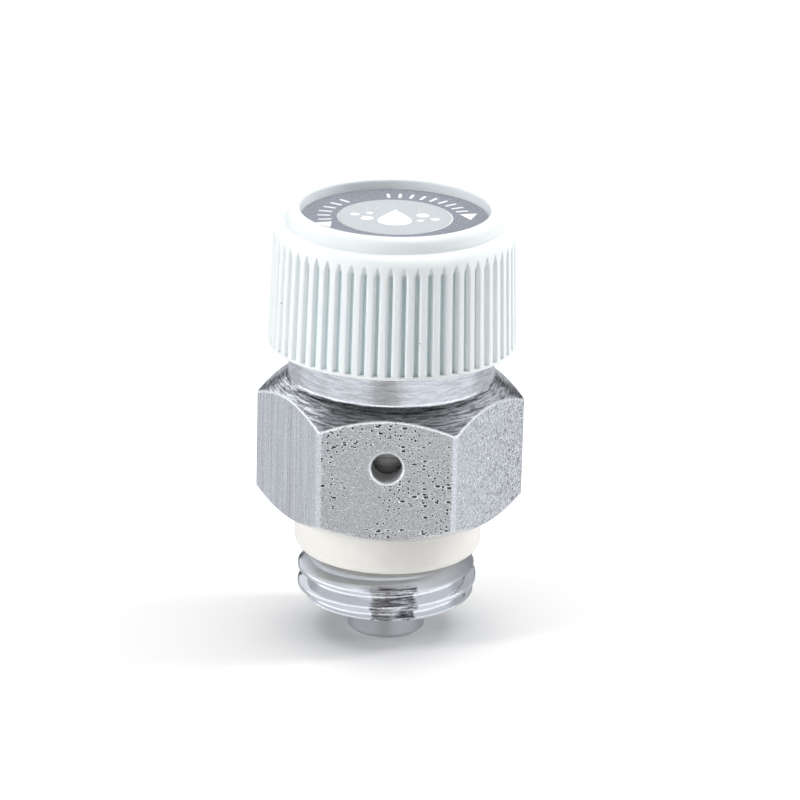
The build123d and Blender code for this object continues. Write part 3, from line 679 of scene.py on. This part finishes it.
# ---------------------------------------------------------------- check spring
WIRE_R = 0.17 * MM
TURNS, FLAT_TURNS = 4.5, 0.8                     # all turns, and the closed ones at each end
COIL_STEPS, WIRE_SIDES = 216, 16


def wire_rings(shape, bottom, top, mean):
    """The wire's section at each step of a coil with closed flat ends."""
    rings = []
    for step in range(COIL_STEPS + 1):
        share = step / COIL_STEPS
        climb = min(max((share * TURNS - FLAT_TURNS) / (TURNS - 2 * FLAT_TURNS), 0.0), 1.0)
        angle = math.tau * TURNS * share
        height = bottom + WIRE_R + climb * (top - bottom - 2 * WIRE_R)
        ring = []
        for side in range(WIRE_SIDES):
            turn = math.tau * side / WIRE_SIDES
            reach = mean + WIRE_R * math.cos(turn)
            ring.append(shape.verts.new((reach * math.cos(angle), reach * math.sin(angle),
                                         height + WIRE_R * math.sin(turn))))
        rings.append(ring)
    return rings


def check_spring(material):
    """The spring under the check valve, built as a fixed coil in place of the CAD node; the real
    one stretches as the valve rises.
    """
    bottom, top = low("check_spring").z, high("check_spring").z
    mesh = bpy.data.meshes.new("valve_spring")
    shape = bmesh.new()
    rings = wire_rings(shape, bottom, top, high("check_spring").x - WIRE_R)
    for first, second in zip(rings, rings[1:]):
        wall(shape, second, first)
    shape.faces.new(rings[0])
    shape.faces.new(reversed(rings[-1]))
    bmesh.ops.recalc_face_normals(shape, faces=shape.faces)
    for face in shape.faces:
        face.smooth = len(face.verts) == 4
    shape.to_mesh(mesh)
    shape.free()
    mesh.materials.append(material)
    spring = bpy.data.objects.new("valve_spring", mesh)
    bpy.context.collection.objects.link(spring)
    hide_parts("check_spring")
    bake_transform(spring)


# ---------------------------------------------------------------- studio
FLOOR_REACH = 3.0
LIGHTS_AIM = 0.0, 0.0, 0.01
ROOM = 0.82                                      # overall brightness of the room
GREY_LEAN = 0.07                                 # the grey part of the room lies a little left
GREY_HALF = (0.32, 0.19)                         # where it has faded out, rad, and where it's full
DARK_HALF = (0.50, 0.30)                         # the same for the dark part above it
BACK_FROM = (1.80, 2.15)                         # where the paler back of the room starts, rad
BEHIND_FROM = (2.30, 2.60)                       # where the dark skirting behind starts, rad
RIGHT_FROM = (0.3, 0.7)                          # where the right half starts, rad
DARK_TOP = (1.00, 0.90)                          # where the dark part ends, rad up, and is full
BEHIND_TOP = (0.20, 0.12)                        # the same for the skirting behind
GLOW_TOP = (0.52, 0.46)                          # the same for the bright backdrop at the front
HORIZON_HALF = (0.16, 0.09)                      # and for the bright line along the horizon
CEILING_FROM = (0.92, 1.02)                      # where the ceiling starts, rad up
LOW_LEVEL, HIGH_LEVEL = 0.98, 1.10               # how bright the room is below and above
CEILING = 0.32                                   # how bright the ceiling is
GLOW = 1.9                                       # extra brightness along the horizon


def floor():
    """Pale floor under the nozzle's end.  The plating mirrors the room instead of it."""
    mesh = bpy.data.meshes.new("floor")
    corners = [(-FLOOR_REACH, -FLOOR_REACH), (FLOOR_REACH, -FLOOR_REACH),
               (FLOOR_REACH, FLOOR_REACH), (-FLOOR_REACH, FLOOR_REACH)]
    mesh.from_pydata([(x, y, FLOOR_Z) for x, y in corners], [], [(0, 1, 2, 3)])
    s = Shader("floor_white")
    s.surface({"Base Color": (0.9, 0.9, 0.9, 1), "Roughness": 0.9})
    mesh.materials.append(s.material)
    made = bpy.data.objects.new("floor", mesh)
    bpy.context.collection.objects.link(made)
    made.visible_glossy = False


def softbox(name, place, width, height, power):
    """A rectangular light turned to the object.  The plating mirrors the room instead of it."""
    light = bpy.data.lights.new(name, "AREA")
    light.shape = "RECTANGLE"
    light.size, light.size_y = width, height
    light.energy = power
    made = bpy.data.objects.new(name, light)
    bpy.context.collection.objects.link(made)
    made.location = place
    made.rotation_mode = "QUATERNION"
    made.rotation_quaternion = (Vector(LIGHTS_AIM) - Vector(place)).to_track_quat("-Z", "Y")
    made.visible_glossy = False


def room_masks(s, direction):
    """Which part of the room a direction looks at, by name.  Turns are counted from the front."""
    x, y, z = s.split(direction)
    turn = s.math("ADD", s.math("ARCTAN2", x, s.times(y, -1.0)), GREY_LEAN)
    away = s.math("ABSOLUTE", turn)
    rise = s.math("ARCSINE", z)
    return SimpleNamespace(
        rise=rise, level=s.math("ABSOLUTE", rise), upper=s.ramp(rise, -0.05, 0.05),
        grey=s.ramp(away, *GREY_HALF), dark=s.ramp(away, *DARK_HALF),
        right=s.ramp(turn, *RIGHT_FROM),
        back=s.ramp(away, *BACK_FROM), behind=s.ramp(away, *BEHIND_FROM))


def room_below(s, at):
    """Below eye level: light, greyer at the front and at the back."""
    not_back = s.math("SUBTRACT", 1.0, at.back)
    level = s.math("MULTIPLY_ADD", at.grey, -0.41, LOW_LEVEL)
    level = s.math("MULTIPLY_ADD", s.times(at.right, not_back), 0.10, level)
    return s.math("MULTIPLY_ADD", at.back, -0.26, level)


def room_above(s, at):
    """Above it: light panels, dark at the front and low behind, and a dim ceiling."""
    panel = s.math("MULTIPLY_ADD", s.times(at.right, at.back), -0.45, HIGH_LEVEL)
    front = s.times(at.dark, s.ramp(at.rise, *DARK_TOP))
    low_back = s.times(at.behind, s.ramp(at.rise, *BEHIND_TOP))
    unlit = s.math("MULTIPLY_ADD", s.most(front, low_back), -0.93, 1.0)
    level = s.times(panel, unlit)
    ceiling = s.ramp(at.rise, *CEILING_FROM)
    return s.math("MULTIPLY_ADD", s.math("SUBTRACT", CEILING, level), ceiling, level)


def room_glow(s, at):
    """Bright backdrop along the horizon, higher at the front and missing behind."""
    front = s.times(at.dark, s.ramp(at.rise, *GLOW_TOP), at.upper)
    band = s.most(s.ramp(at.level, *HORIZON_HALF), front)
    return s.times(band, s.math("SUBTRACT", 1.0, at.back))


def room():
    """The room that the plating mirrors.  It gives no light to anything matt."""
    world = bpy.data.worlds.new("studio")
    bpy.context.scene.world = world
    world.use_nodes = True
    world.cycles_visibility.diffuse = False
    s = Nodes(world.node_tree)
    background = s.tree.nodes["Background"]
    at = room_masks(s, s.node("ShaderNodeTexCoord").outputs["Generated"])
    below = room_below(s, at)
    rest = s.math("SUBTRACT", room_above(s, at), below)
    level = s.math("MULTIPLY_ADD", rest, at.upper, below)
    level = s.math("MULTIPLY_ADD", room_glow(s, at), GLOW, level)
    tint = s.mix(at.grey, (0.94, 0.98, 1.05, 1), (0.98, 0.985, 1.01, 1))
    s.put(background.inputs["Color"], tint)
    s.put(background.inputs["Strength"], s.times(level, ROOM))


def studio():
    """Soft boxes above and at both sides, the left one further to the front, and the room."""
    softbox("top_box", (0.0, 0.05, 0.60), 0.80, 0.80, 5.0)
    softbox("left_box", (-0.35, -0.19, 0.16), 0.08, 0.26, 1.1)
    softbox("right_box", (0.37, 0.06, 0.16), 0.08, 0.26, 1.15)
    room()


# ---------------------------------------------------------------- camera
AIM_Z = 11.96 * MM
DISTANCE = 323.9 * MM
AZIMUTH, ELEVATION, ROLL = math.radians(1.12), math.radians(19.61), math.radians(1.42)
LENS = 199.9
NEAR, FAR = 0.01, 10.0
ASIDE, BELOW = 0.66 * MM, 0.734 * MM             # how far the aim lies right of and under the axis


def camera():
    """The camera in front, a little above and rolled a little."""
    data = bpy.data.cameras.new("camera")
    data.lens = LENS
    made = bpy.data.objects.new("camera", data)
    bpy.context.collection.objects.link(made)
    bpy.context.scene.camera = made
    back = Vector((math.sin(AZIMUTH) * math.cos(ELEVATION),
                   -math.cos(AZIMUTH) * math.cos(ELEVATION), math.sin(ELEVATION)))
    made.location = Vector((0, 0, AIM_Z)) + back * DISTANCE
    level = (-back).to_track_quat("-Z", "Y").to_matrix()
    rolled = level @ Matrix.Rotation(ROLL, 3, "Z")
    aim = Vector((0, 0, AIM_Z)) + rolled @ Vector((ASIDE, -BELOW, 0))
    forward = (aim - made.location).normalized()
    turned = forward.to_track_quat("-Z", "Y").to_matrix() @ Matrix.Rotation(ROLL, 3, "Z")
    made.rotation_mode = "QUATERNION"
    made.rotation_quaternion = turned.to_quaternion()
    data.clip_start, data.clip_end = NEAR, FAR


bpy.context.scene.view_settings.view_transform = "Standard"
wire_material = dress_nodes()
label_print()
check_spring(wire_material)
floor()
studio()
camera()
